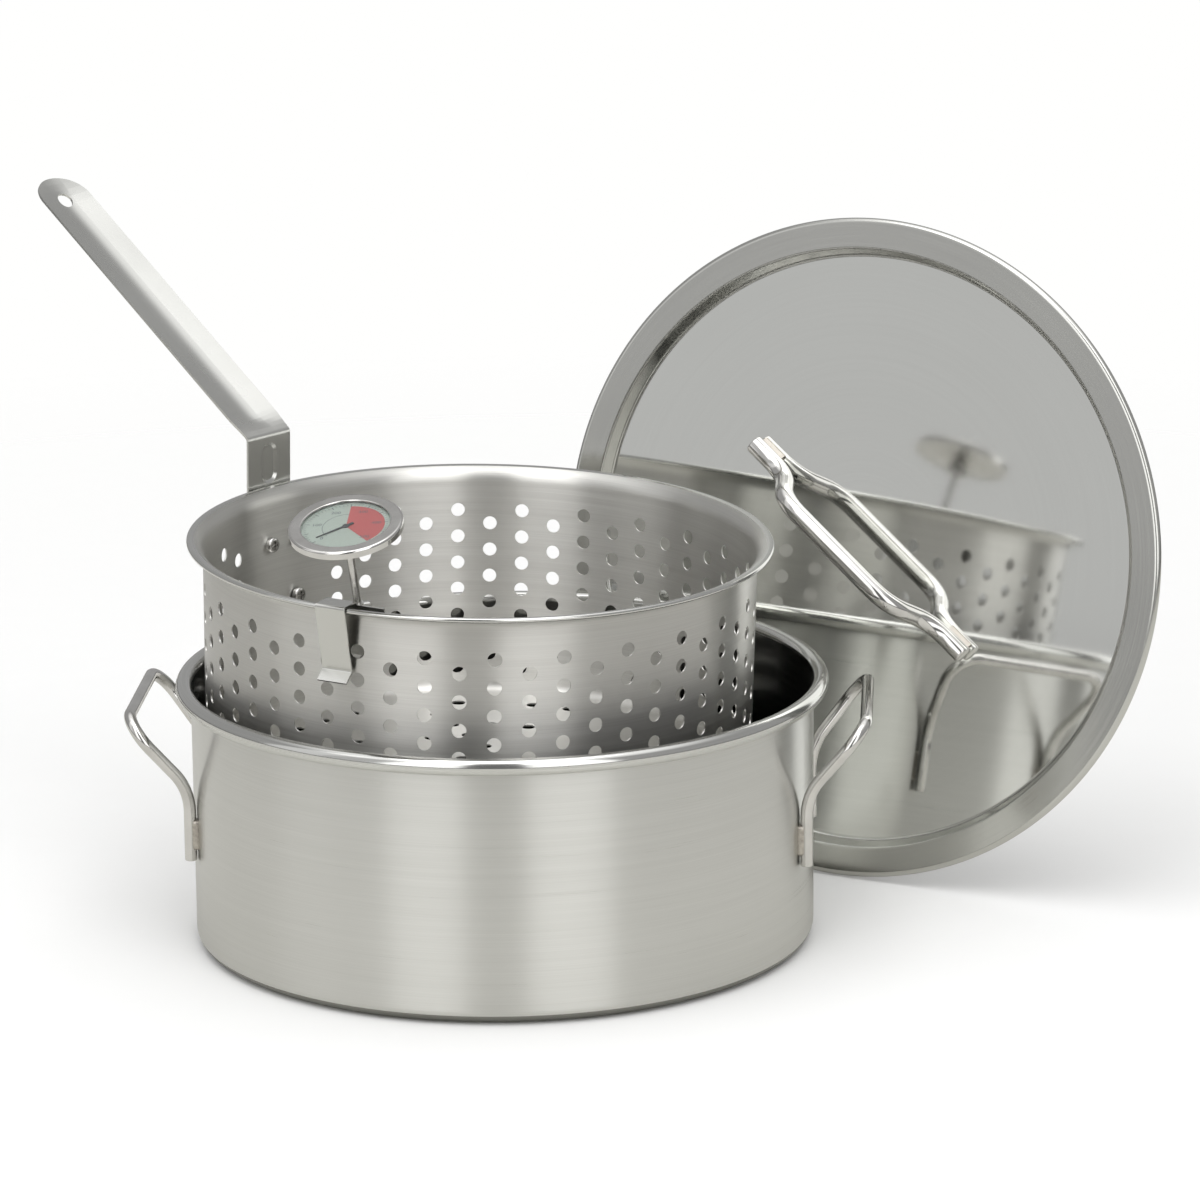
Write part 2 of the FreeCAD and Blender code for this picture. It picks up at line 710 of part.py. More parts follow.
# ---------------------------------------------------------------- thermometer clip
def thermometer_clip():
    """Spring clip over the basket's rim: outer strap, bridge, inner plate and two loops."""
    thick, bend = size("clip_sheet"), size("clip_bend")
    lean = math.radians(size("dial_lean"))
    plate_off = size("stem_radius + plate_gap") + thick / 2
    top = size("clip_top")

    def plate_point(height):
        """Middle of the inner plate at a height: parallel to the stem and outside it."""
        return Vector(size("stem_at_rim") + height * math.tan(lean) + plate_off / math.cos(lean),
                      0, height)

    strap = strip([
        plate_point(top - size("bridge_drop")),
        plate_point(top),
        Vector(size("clip_out"), 0, top),
        Vector(size("clip_grip_radius"), 0, size("clip_grip_height")),
        Vector(size("clip_tab_out"), 0, size("clip_tab_low"))], thick, bend, size("clip_wide"))
    offset = size("clip_out") * math.sin(math.radians(size("clip_towards - dial_towards")))
    strap.translate(Vector(0, offset, 0))
    plate = strip([plate_point(size("clip_plate_low")), plate_point(top - size("plate_start"))],
                  thick, bend, size("clip_plate_wide"))
    shape = strap.fuse(plate)
    outer = size("stem_radius + stem_clearance") + thick
    tall = size("loop_high")
    along_stem = Placement(Vector(size("stem_at_rim"), 0, 0),
                           Rotation(Y_AXIS, size("dial_lean")))
    for height in (size("loop_upper"), size("loop_lower")):
        band = Part.makeCylinder(outer, tall, Vector(0, 0, height))
        foot = Part.makeBox(plate_off, 2 * outer, tall, Vector(0, -outer, height))
        lance = band.fuse(foot)
        lance.Placement = along_stem
        shape = shape.fuse(lance)
    reach = size("stem_long")
    bore = Part.makeCylinder(outer - thick, 2 * reach, Vector(0, 0, -reach))
    bore.Placement = along_stem
    shape = shape.cut(bore).removeSplitter()
    return keep(feature("thermometer_clip", shape.Solids[0]), CLIP)


# ---------------------------------------------------------------- thermometer
GAP = "Sizes.fit_gap"
WALL_IN = "(Sizes.bezel_radius - Sizes.bezel_sheet)"
STACK_EDGE = f"({WALL_IN} - Sizes.rim_slack)"
UNDER_LIP = "(Sizes.face_height - Sizes.bezel_sheet)"
LENS_TOP = f"({UNDER_LIP} - {GAP})"
LENS_LOW = f"({LENS_TOP} - Sizes.lens_thick)"
GASKET_TOP = f"({LENS_LOW} - {GAP})"
GASKET_LOW = f"({GASKET_TOP} - Sizes.gasket_thick)"
DIAL_TOP = f"({GASKET_LOW} - {GAP})"
DIAL_LOW = f"({DIAL_TOP} - Sizes.dial_thick)"
CASE_TOP = f"({DIAL_LOW} - {GAP})"
CASE_LOW = f"({CASE_TOP} - Sizes.case_deep)"
SPINDLE_BORE = "(Sizes.spindle_radius + Sizes.spindle_slack)"


def dial_housing():
    """Bezel, lens, gasket, dial and case, stacked down from the face."""
    keep(turned("thermometer_bezel", [
        (WALL_IN, "(Sizes.face_height - Sizes.bezel_high)"),
        ("Sizes.bezel_radius", "(Sizes.face_height - Sizes.bezel_high)"),
        ("Sizes.bezel_radius", "Sizes.face_height - Sizes.bezel_round",
         "Sizes.bezel_round", 1),
        ("Sizes.bezel_radius - Sizes.bezel_round", "Sizes.face_height"),
        ("Sizes.bezel_opening + Sizes.opening_round", "Sizes.face_height",
         "Sizes.opening_round", 1),
        ("Sizes.bezel_opening", "Sizes.face_height - Sizes.opening_round"),
        ("Sizes.bezel_opening", UNDER_LIP),
        (WALL_IN, UNDER_LIP),
    ]), DIAL)
    keep(turned("thermometer_lens", [
        ("0", LENS_LOW), (STACK_EDGE, LENS_LOW), (STACK_EDGE, LENS_TOP), ("0", LENS_TOP),
    ]), DIAL)
    gasket_in = f"({STACK_EDGE} - Sizes.gasket_wide)"
    keep(turned("thermometer_gasket", [
        (gasket_in, GASKET_LOW), (STACK_EDGE, GASKET_LOW),
        (STACK_EDGE, GASKET_TOP), (gasket_in, GASKET_TOP),
    ]), DIAL)
    dial_edge = f"({STACK_EDGE} - Sizes.dial_slack)"
    keep(turned("thermometer_dial", [
        (SPINDLE_BORE, DIAL_LOW), (dial_edge, DIAL_LOW),
        (dial_edge, DIAL_TOP), (SPINDLE_BORE, DIAL_TOP),
    ]), DIAL)
    hub_top = f"{CASE_LOW} + Sizes.case_hub_sheet"
    keep(turned("thermometer_case", [
        (SPINDLE_BORE, CASE_LOW),
        ("Sizes.case_hub", CASE_LOW),
        (STACK_EDGE, f"{CASE_TOP} - Sizes.case_wall_high"),
        (STACK_EDGE, CASE_TOP),
        (gasket_in, CASE_TOP),
        (gasket_in, f"{CASE_TOP} - Sizes.case_sheet"),
        ("Sizes.case_hub", hub_top),
        (SPINDLE_BORE, hub_top),
    ]), DIAL)


def stem_low():
    """Height of the stem's closed end."""
    return size(CASE_LOW) - 2 * size("fit_gap") - size("fitting_stop + stem_long")


def stem_parts():
    """Hexagonal fitting under the case, the closed tube and the coil inside it."""
    flats, high = size("fitting_flats"), size("fitting_high")
    low = size(CASE_LOW) - size("fit_gap") - high
    fitting = hexagon(flats, high, low)
    chamfer = Part.makeCone(flats / 2, flats / 2 + high, high, Vector(0, 0, low))
    seat = Part.makeCylinder(size("stem_radius + contact_gap"),
                             high - size("fitting_stop"), Vector(0, 0, low))
    shaft_way = Part.makeCylinder(size(SPINDLE_BORE), 2 * high, Vector(0, 0, low))
    keep(feature("thermometer_fitting", fitting.common(chamfer).cut(seat).cut(shaft_way)), DIAL)

    end, long = stem_low(), size("stem_long")
    tube = Part.makeCylinder(size("stem_radius"), long, Vector(0, 0, end))
    tube = tube.makeFillet(size("stem_end_round"),
                           [e for e in tube.Edges if e.BoundBox.ZMax < end + long / 2])
    solid_end = size("stem_end_solid")
    cavity = Part.makeCylinder(size("stem_bore"), long, Vector(0, 0, end + solid_end))
    keep(feature("thermometer_stem", tube.cut(cavity)), DIAL)

    coil_low = end + solid_end + size("coil_above_end")
    helix = Part.makeHelix(size("coil_pitch"), size("coil_long"), size("coil_radius"))
    helix.translate(Vector(0, 0, coil_low))
    start = Vector(size("coil_radius"), 0, coil_low)
    section = Part.Wire(Part.Circle(start, Y_AXIS, size("coil_wire")).toShape())
    keep(feature("thermometer_coil",
                 Part.Wire(helix.Edges).makePipeShell([section], True, True)), DIAL)


def needle_parts():
    """Spindle through the stem, and the needle on its upper end."""
    level = size(f"{DIAL_TOP} + Sizes.needle_lift")
    low = stem_low() + size("stem_end_solid + coil_above_end + coil_long - spindle_overlap")
    keep(feature("thermometer_spindle", Part.makeCylinder(
        size("spindle_radius"), level - low, Vector(0, 0, low))), DIAL)
    seat = level + size("contact_gap")
    tip, tail = size("needle_long"), -size("needle_tail")
    narrow, wide, thick = (size("needle_half_tip"), size("needle_half_tail"),
                           size("needle_thick"))
    blade = Part.Face(Part.makePolygon([
        Vector(tail, -wide, seat), Vector(tip, -narrow, seat), Vector(tip, narrow, seat),
        Vector(tail, wide, seat), Vector(tail, -wide, seat)])).extrude(Vector(0, 0, thick))
    hub = Part.makeCylinder(size("needle_hub"), thick, Vector(0, 0, seat))
    needle = blade.fuse(hub).removeSplitter()
    keep(feature("thermometer_needle", needle), DIAL * turn_z(size("needle_turn")))


# ---------------------------------------------------------------- lid
def lid_pan():
    """Flange with a curved-down edge, a step, and the recessed flat panel."""
    thick = "Sizes.lid_sheet"
    panel = "Sizes.lid_panel_height"
    bend = "Sizes.lid_panel_bend"
    step = "Sizes.lid_step_bend"
    keep(turned("lid_pan", [
        ("0", f"{panel} - {thick}"),
        (f"Sizes.lid_panel_radius - {bend}", f"{panel} - {thick}", f"{bend} + {thick}", 1),
        (f"Sizes.lid_panel_radius + {thick}", f"{panel} + {bend}"),
        (f"Sizes.lid_flange_inner - {step} + {thick}", f"0 - {thick} - {step}"),
        (f"Sizes.lid_flange_inner + {thick}", f"0 - {thick}"),
        ("Sizes.lid_radius - Sizes.lid_lip", f"0 - {thick}", f"Sizes.lid_lip - {thick}", -1),
        (f"Sizes.lid_radius - {thick}", "0 - Sizes.lid_lip"),
        ("Sizes.lid_radius", "0 - Sizes.lid_lip", "Sizes.lid_lip", 1),
        ("Sizes.lid_radius - Sizes.lid_lip", "0"),
        ("Sizes.lid_flange_inner", "0"),
        (f"Sizes.lid_flange_inner - {step}", f"0 - {step}"),
        ("Sizes.lid_panel_radius", f"{panel} + {bend}", bend, -1),
        (f"Sizes.lid_panel_radius - {bend}", panel),
        ("0", panel),
    ]), LID)


def lid_handle():
    """Bent rod that lies on the panel at both feet, and its two weld fillets."""
    radius = size("bow_rod")
    rest = size("lid_panel_height + bow_gap + bow_rod")
    high = size("lid_panel_height + bow_high")
    half = [Vector(size("bow_end"), 0, rest), Vector(size("bow_foot"), 0, rest),
            Vector(size("bow_grip"), 0, high)]
    points = half + [Vector(-p.x, 0, p.z) for p in reversed(half)]
    keep(feature("lid_handle", rod(points, radius, [size("bow_bend")] * (len(points) - 2))), BOW)
    wide, tall = size("bow_weld_half"), size("bow_weld_high")
    floor = size("lid_panel_height")
    fillets = []
    for side in (-1, 1):
        start = size("bow_weld_from") * side
        long = size("bow_weld_long")
        low_x = min(start, start + side * long)
        block = Part.makeBox(long, 2 * wide, tall, Vector(low_x, -wide, floor))
        block = block.makeChamfer(tall * size("bow_weld_slope"), [
            e for e in block.Edges
            if e.BoundBox.ZMin > floor + tall - 0.01 and e.BoundBox.YLength < 0.01])
        shaft = Part.makeCylinder(radius, long * 2, Vector(low_x - long / 2, 0, rest), X_AXIS)
        fillets.append(block.cut(shaft).Solids[0])
    keep(feature("lid_handle_welds", Part.makeCompound(fillets)), BOW)


# ---------------------------------------------------------------- build and export
pot_shell()
pot_ears()
basket_shell()
basket_handle()
fasteners()
thermometer_clip()
dial_housing()
stem_parts()
needle_parts()
lid_pan()
lid_handle()
doc.recompute()

for item in doc.Objects:
    if {"Invalid", "Error"} & set(item.State):
        raise RuntimeError(f"{item.Label} failed: {item.State}")
os.makedirs("parts", exist_ok=True)
for node in nodes:
    shape = node.Shape
    if shape.isNull() or not shape.isValid():
        raise RuntimeError(f"{node.Label} has no valid shape")
    shape.exportStep(os.path.join("parts", node.Label + ".step"))
    print(f"{node.Label}: {len(shape.Solids)} solid(s), {shape.Volume / 1000:.2f} cm3")
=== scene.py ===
"""Looks of the fry pot kit: spun and brushed steel shells, polished rods, a glazed
dial and a pressed grip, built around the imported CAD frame.  Metres, +Z up."""
import json
import math

import bmesh
import bpy
from mathutils import Matrix, Quaternion, Vector
from mathutils.geometry import delaunay_2d_cdt


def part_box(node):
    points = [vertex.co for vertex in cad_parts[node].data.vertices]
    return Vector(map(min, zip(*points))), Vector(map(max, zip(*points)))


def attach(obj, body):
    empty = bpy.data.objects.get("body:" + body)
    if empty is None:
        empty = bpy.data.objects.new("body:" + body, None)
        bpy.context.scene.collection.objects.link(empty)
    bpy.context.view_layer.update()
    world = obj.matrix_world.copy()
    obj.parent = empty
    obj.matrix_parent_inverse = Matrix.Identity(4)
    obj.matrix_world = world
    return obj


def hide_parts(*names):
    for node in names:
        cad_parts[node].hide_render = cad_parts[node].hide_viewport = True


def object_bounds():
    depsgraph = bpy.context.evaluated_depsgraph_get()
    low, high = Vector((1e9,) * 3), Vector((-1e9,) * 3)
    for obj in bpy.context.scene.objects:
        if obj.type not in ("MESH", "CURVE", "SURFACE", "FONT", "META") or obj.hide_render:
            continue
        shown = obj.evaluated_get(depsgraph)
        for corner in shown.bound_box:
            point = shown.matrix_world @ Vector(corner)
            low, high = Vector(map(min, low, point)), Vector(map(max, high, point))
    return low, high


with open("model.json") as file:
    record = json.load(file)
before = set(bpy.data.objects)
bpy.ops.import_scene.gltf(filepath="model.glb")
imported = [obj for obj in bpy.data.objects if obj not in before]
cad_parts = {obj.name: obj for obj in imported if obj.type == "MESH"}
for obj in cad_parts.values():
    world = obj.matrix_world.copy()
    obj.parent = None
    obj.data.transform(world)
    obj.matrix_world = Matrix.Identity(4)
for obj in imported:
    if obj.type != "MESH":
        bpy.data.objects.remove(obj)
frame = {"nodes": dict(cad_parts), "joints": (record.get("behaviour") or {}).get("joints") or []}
cad_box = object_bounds()
nodes = frame["nodes"]
joints = {joint["name"]: joint for joint in frame["joints"]}
MM = 0.001
UP = Vector((0, 0, 1))

# ---------------------------------------------------------------- places of the parts
RIM_CENTRE = Vector(joints["clip_turn"]["pos_m"])       # middle of the basket's rim
BASKET_UP = Vector(joints["clip_turn"]["axis"]).normalized()
FACE_CENTRE = Vector(joints["needle_turn"]["pos_m"])    # middle of the dial's face
STEM_UP = Vector(joints["needle_turn"]["axis"]).normalized()
LID_UP = Vector(joints["lid_lift"]["axis"]).normalized()
LID_SIDE = LID_UP.cross(UP).normalized()
LID_OUT = LID_SIDE.cross(LID_UP).normalized()
if LID_OUT.y > 0:
    LID_OUT = -LID_OUT


def frame_matrix(origin, up, ahead):
    """Placement whose Z is up and whose X is as near to ahead as it can be."""
    z = up.normalized()
    x = (ahead - z * ahead.dot(z)).normalized()
    matrix = Matrix((x, z.cross(x), z)).transposed().to_4x4()
    matrix.translation = origin
    return matrix


LID_LIP = 2.6 * MM                                      # depth of the lid's rounded lip


def lid_face_middle():
    """Middle of the lid's outer face.  Along each axis the box's middle is that of the
    lip's circle, moved by half of what the lip's round adds on the side the lid faces."""
    low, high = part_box("lid_pan")
    middle = Vector()
    for i, out in enumerate(LID_OUT):
        added = math.copysign((1 - math.sqrt(1 - out ** 2)) * LID_LIP, out)
        middle[i] = (low[i] + high[i]) / 2 - added / 2 + out * LID_LIP
    return middle


POT = Matrix.Identity(4)
BASKET = UP.rotation_difference(BASKET_UP).to_matrix().to_4x4()
BASKET.translation = RIM_CENTRE
DIAL = frame_matrix(FACE_CENTRE, STEM_UP, STEM_UP - BASKET_UP)
LID = frame_matrix(lid_face_middle(), LID_OUT, -LID_UP)
BOW_TURN = math.radians(53.4)                           # the lid's rod, from straight down
BOW = LID @ Matrix.Rotation(BOW_TURN, 4, "Z")
DIAL_TOP = max((DIAL.inverted() @ vertex.co).z
               for vertex in nodes["thermometer_dial"].data.vertices)
DIAL_FACE = DIAL @ Matrix.Translation((0, 0, DIAL_TOP))


# ---------------------------------------------------------------- mesh building
WELD_GAP = 0.002      # points closer than this, in millimetres, become one


class Sheet:
    """Vertices and faces gathered in millimetres, welded into one mesh at the end."""

    def __init__(self):
        self.points = []
        self.faces = []
        self.kinds = []

    def add(self, points, faces, kind=0):
        """Faces as indexes into their own points; kind is the number of a material."""
        start = len(self.points)
        self.points.extend(points)
        for face in faces:
            self.faces.append([start + index for index in face])
            self.kinds.append(kind)

    def mesh(self, name, sharp=32):
        """The mesh, smooth except at edges that turn by more than sharp degrees."""
        made = bpy.data.meshes.new(name)
        made.from_pydata([(x * MM, y * MM, z * MM) for x, y, z in self.points], [], self.faces)
        made.polygons.foreach_set("material_index", self.kinds)
        work = bmesh.new()
        work.from_mesh(made)
        bmesh.ops.remove_doubles(work, verts=work.verts, dist=WELD_GAP * MM)
        limit = math.radians(sharp)
        for face in work.faces:
            face.smooth = True
        for edge in work.edges:
            edge.smooth = len(edge.link_faces) == 2 and edge.calc_face_angle(0.0) < limit
        work.to_mesh(made)
        work.free()
        return made


def arc(across, height, radius, start, end, step=9.0):
    """Points of an arc in a profile, angles in degrees."""
    count = max(2, int(math.ceil(abs(end - start) / step)))
    return [(across + radius * math.cos(math.radians(start + (end - start) * i / count)),
             height + radius * math.sin(math.radians(start + (end - start) * i / count)))
            for i in range(count + 1)]


def held(profile, hold=0.15):
    """A profile with extra points close to both ends of each long straight run, so
    that the shading of a bend stays in the bend."""
    points = [profile[0]]
    for start, end in zip(profile, profile[1:]):
        long = math.dist(start, end)
        if long > 6 * hold:
            for share in (hold / long, 1 - hold / long):
                points.append((start[0] + (end[0] - start[0]) * share,
                               start[1] + (end[1] - start[1]) * share))
        points.append(end)
    return points


def lathe(sheet, profile, degrees, kind_of=lambda across, height: 0):
    """A profile turned round Z through a closed list of angles, solid on its left.
    kind_of gives a band's material from its middle."""
    for (r0, z0), (r1, z1) in zip(profile, profile[1:]):
        if math.dist((r0, z0), (r1, z1)) < 1e-6:
            continue
        ring, faces = [], []
        count = len(degrees)
        for angle in degrees:
            c, s = math.cos(math.radians(angle)), math.sin(math.radians(angle))
            ring.append((r0 * c, r0 * s, z0))
            ring.append((r1 * c, r1 * s, z1))
        for i in range(count):
            j = (i + 1) % count
            face = [2 * i, 2 * j, 2 * j + 1, 2 * i + 1]
            if r0 < 1e-6:
                face = [2 * i, 2 * j + 1, 2 * i + 1]
            elif r1 < 1e-6:
                face = [2 * i, 2 * j, 2 * i + 1]
            faces.append(face)
        sheet.add(ring, faces, kind_of((r0 + r1) / 2, (z0 + z1) / 2))


def even_turn(count):
    return [360 * i / count for i in range(count)]


def bent(points, bends, degrees_per_step=4):
    """A route of straight runs with a tangent arc at each inner corner."""
    route = [points[0]]
    for before, corner, after, bend in zip(points, points[1:], points[2:], bends):
        back, ahead = (before - corner).normalized(), (after - corner).normalized()
        half = back.angle(ahead) / 2
        centre = corner + (back + ahead).normalized() * (bend / math.sin(half))
        first = corner + back * (bend / math.tan(half)) - centre
        last = corner + ahead * (bend / math.tan(half)) - centre
        turn = first.angle(last)
        count = max(4, int(math.degrees(turn) / degrees_per_step))
        axis = first.cross(last).normalized()
        for i in range(count + 1):
            route.append(centre + Quaternion(axis, turn * i / count) @ first)
    route.append(points[-1])
    return route


def rod(sheet, points, radius, bends, edge=0.5, sides=40):
    """A round rod along a bent route; its ends have a small rounded edge."""
    route = bent([Vector(p) for p in points], bends)
    first = (route[1] - route[0]).normalized()
    last = (route[-1] - route[-2]).normalized()

    def rounded_end(point, inwards, angles):
        return [(point + inwards * edge * (1 - math.cos(math.radians(a))),
                 radius - edge + edge * math.sin(math.radians(a))) for a in angles]

    stations = [(route[0], 0.0)] + rounded_end(route[0], first, (0, 30, 60, 90))
    stations += [(point, radius) for point in route[1:-1]]
    stations += rounded_end(route[-1], -last, (90, 60, 30, 0)) + [(route[-1], 0.0)]
    side = first.orthogonal().normalized()
    way = first
    rings = []
    for index, (point, reach) in enumerate(stations):
        if 0 < index < len(stations) - 1:
            ahead = stations[index + 1][0] - stations[index - 1][0]
            if ahead.length > 1e-6:
                ahead.normalize()
                side = way.rotation_difference(ahead) @ side
                way = ahead
        over = way.cross(side)
        rings.append([point + (side * math.cos(2 * math.pi * i / sides)
                               + over * math.sin(2 * math.pi * i / sides)) * reach
                      for i in range(sides)])
    faces = []
    for low in range(0, (len(rings) - 1) * sides, sides):
        for i in range(sides):
            j = (i + 1) % sides
            faces.append([low + i, low + j, low + sides + j, low + sides + i])
    sheet.add([tuple(point) for ring in rings for point in ring], faces)


def place(name, mesh, matrix, body, materials, slot, *stands_for):
    for material in materials:
        mesh.materials.append(material)
    piece = bpy.data.objects.new(name, mesh)
    bpy.context.scene.collection.objects.link(piece)
    piece.matrix_world = matrix
    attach(piece, body)
    if stands_for:
        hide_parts(*stands_for)


# ---------------------------------------------------------------- node materials
class Shader:
    """A short way to write node trees."""

    def __init__(self, name):
        self.material = bpy.data.materials.new(name)
        self.material.use_nodes = True
        self.tree = self.material.node_tree
        self.tree.nodes.clear()
        self.output = self.node("ShaderNodeOutputMaterial")

    def node(self, kind, **settings):
        made = self.tree.nodes.new(kind)
        for key, value in settings.items():
            setattr(made, key, value)
        return made

    def link(self, source, target):
        self.tree.links.new(source, target)

    def math(self, operation, first, second=None):
        made = self.node("ShaderNodeMath", operation=operation)
        for index, value in enumerate((first, second)):
            if value is None:
                continue
            if isinstance(value, (int, float)):
                made.inputs[index].default_value = value
            else:
                self.link(value, made.inputs[index])
        return made.outputs[0]

    def local(self):
        """Object coordinates."""
        return self.node("ShaderNodeTexCoord").outputs["Object"]

    def noise(self, vector, scales, detail=3.0):
        """Noise with a scale of its own along each axis."""
        stretch = self.node("ShaderNodeVectorMath", operation="MULTIPLY")
        self.link(vector, stretch.inputs[0])
        stretch.inputs[1].default_value = scales
        made = self.node("ShaderNodeTexNoise")
        made.inputs["Scale"].default_value = 1.0
        made.inputs["Detail"].default_value = detail
        made.inputs["Roughness"].default_value = 0.55
        self.link(stretch.outputs[0], made.inputs["Vector"])
        return made.outputs["Fac"]

    def spread(self, value, low_out, high_out, low_in=0.3, high_in=0.7):
        """A value brought from one range into another."""
        made = self.node("ShaderNodeMapRange")
        made.inputs["From Min"].default_value = low_in
        made.inputs["From Max"].default_value = high_in
        made.inputs["To Min"].default_value = low_out
        made.inputs["To Max"].default_value = high_out
        self.link(value, made.inputs["Value"])
        return made.outputs["Result"]

    def tint(self, value, first, second):
        """A colour between two, by a value from 0 to 1."""
        made = self.node("ShaderNodeMix", data_type="RGBA")
        self.link(value, made.inputs["Factor"])
        made.inputs[6].default_value = (*first, 1)
        made.inputs[7].default_value = (*second, 1)
        return made.outputs[2]

    def bump(self, height, depth):
        """A normal from a height of 0 to 1 and its depth in metres."""
        made = self.node("ShaderNodeBump")
        made.inputs["Distance"].default_value = depth
        made.inputs["Strength"].default_value = 1.0
        self.link(height, made.inputs["Height"])
        return made.outputs["Normal"]

    def surface(self, **values):
        """Principled surface.  Sockets are named with _ for a space."""
        made = self.node("ShaderNodeBsdfPrincipled")
        for key, value in values.items():
            socket = made.inputs[key.replace("_", " ")]
            if isinstance(value, bpy.types.NodeSocket):
                self.link(value, socket)
            elif isinstance(value, tuple) and len(value) == 3:
                socket.default_value = (*value, 1)
            else:
                socket.default_value = value
        self.link(made.outputs["BSDF"], self.output.inputs["Surface"])
        return made


GRAIN_DEPTH = 0.000012    # metres
PIT_DEPTH = 0.000004
PEEL_DEPTH = 0.000006


def spun_steel(name, light, dark, rough, grain=1.0, stretch=0.0, flat=False):
    """Steel with grain that runs round Z, as fine lines stacked along Z on a wall and
    along the radius on a flat disc.  rough is the range of roughness, grain the depth of
    the lines in units of GRAIN_DEPTH, stretch the anisotropy."""
    made = Shader(name)
    local = made.local()
    if flat:
        parts = made.node("ShaderNodeSeparateXYZ")
        made.link(local, parts.inputs[0])
        square = made.math("ADD", made.math("MULTIPLY", parts.outputs[0], parts.outputs[0]),
                           made.math("MULTIPLY", parts.outputs[1], parts.outputs[1]))
        ring = made.node("ShaderNodeCombineXYZ")
        made.link(made.math("SQRT", square), ring.inputs[2])
        made.link(parts.outputs[0], ring.inputs[0])
        made.link(parts.outputs[1], ring.inputs[1])
        local = ring.outputs[0]
    fine = made.noise(local, (14, 14, 4200), detail=2)
    broad = made.noise(local, (5, 5, 420))
    cloud = made.noise(local, (9, 9, 9), detail=2)
    mixed = made.math("ADD", made.math("MULTIPLY", fine, 0.6), made.math("MULTIPLY", broad, 0.4))
    shade = made.math("ADD", made.math("MULTIPLY", mixed, 0.7), made.math("MULTIPLY", cloud, 0.3))
    values = dict(
        Base_Color=made.tint(made.spread(shade, 0, 1, 0.35, 0.65), dark, light),
        Metallic=1.0,
        Roughness=made.spread(mixed, rough[0], rough[1]),
        Normal=made.bump(mixed, GRAIN_DEPTH * grain))
    if stretch:
        tangent = made.node("ShaderNodeTangent", direction_type="RADIAL", axis="Z")
        values.update(Anisotropic=stretch, Anisotropic_Rotation=0.25,
                      Tangent=tangent.outputs[0])
    made.surface(**values)
    return made.material


def drawn_steel(name, light, dark, rough, scales=(60, 60, 60), pitting=1.0):
    """Smooth bright steel of rods and pressings: soft streaks and very fine pits."""
    made = Shader(name)
    local = made.local()
    streak = made.noise(local, scales, detail=4)
    pits = made.noise(local, (1400, 1400, 1400), detail=2)
    made.surface(
        Base_Color=made.tint(made.spread(streak, 0, 1), dark, light),
        Metallic=1.0,
        Roughness=made.spread(streak, rough[0], rough[1]),
        Normal=made.bump(pits, PIT_DEPTH * pitting))
    return made.material


pot_steel = spun_steel("pot_steel", (0.71, 0.71, 0.685), (0.63, 0.63, 0.605),
                       (0.27, 0.34), grain=0.5, stretch=0.91)
basket_steel = spun_steel("basket_steel", (0.74, 0.735, 0.705), (0.62, 0.61, 0.585),
                          (0.30, 0.40), grain=1.0, stretch=0.97)
# Painted shade for the pot's inside: the same spun steel with a much darker colour.
painted_shade_steel = spun_steel("painted_shade_steel", (0.32, 0.32, 0.30), (0.25, 0.25, 0.235),
                         (0.16, 0.24), grain=0.5, stretch=0.6)
rim_steel = spun_steel("rim_steel", (0.68, 0.68, 0.66), (0.58, 0.58, 0.56),
                       (0.08, 0.16), grain=0.4)
lid_steel = spun_steel("lid_steel", (0.75, 0.755, 0.73), (0.72, 0.725, 0.70),
                       (0.045, 0.07), grain=0.08, flat=True)
flange_steel = spun_steel("flange_steel", (0.63, 0.63, 0.60), (0.54, 0.54, 0.515),
                          (0.12, 0.22), grain=0.5, flat=True)
rod_steel = drawn_steel("rod_steel", (0.72, 0.71, 0.69), (0.60, 0.59, 0.57), (0.06, 0.14))
step_steel = drawn_steel("step_steel", (0.60, 0.60, 0.575), (0.52, 0.52, 0.50), (0.10, 0.16),
                         pitting=0.1)
grip_steel = drawn_steel("grip_steel", (0.66, 0.66, 0.635), (0.60, 0.60, 0.575), (0.20, 0.30),
                         (12, 12, 12))
clip_steel = drawn_steel("clip_steel", (0.64, 0.64, 0.615), (0.58, 0.58, 0.555), (0.18, 0.28),
                         (12, 12, 12))
fastener_steel = drawn_steel("fastener_steel", (0.70, 0.69, 0.67), (0.5, 0.49, 0.47),
                             (0.10, 0.22), (300, 300, 300))
weld_steel = drawn_steel("weld_steel", (0.55, 0.52, 0.46), (0.34, 0.31, 0.28), (0.3, 0.5),
                         (500, 500, 500))


def lens_glass():
    """Clear glass with faint smears."""
    made = Shader("lens_glass")
    smear = made.noise(made.local(), (90, 90, 90))
    made.surface(Base_Color=(0.97, 0.99, 0.98), Roughness=made.spread(smear, 0.0, 0.03),
                 IOR=1.47, Transmission_Weight=1.0)
    return made.material


def plain(name, light, dark, rough):
    """Painted or moulded surface with a little mottling and orange peel."""
    made = Shader(name)
    mottle = made.noise(made.local(), (400, 400, 400))
    made.surface(Base_Color=made.tint(made.spread(mottle, 0, 1), dark, light),
                 Metallic=0.0, Roughness=made.spread(mottle, rough[0], rough[1]),
                 Normal=made.bump(mottle, PEEL_DEPTH))
    return made.material


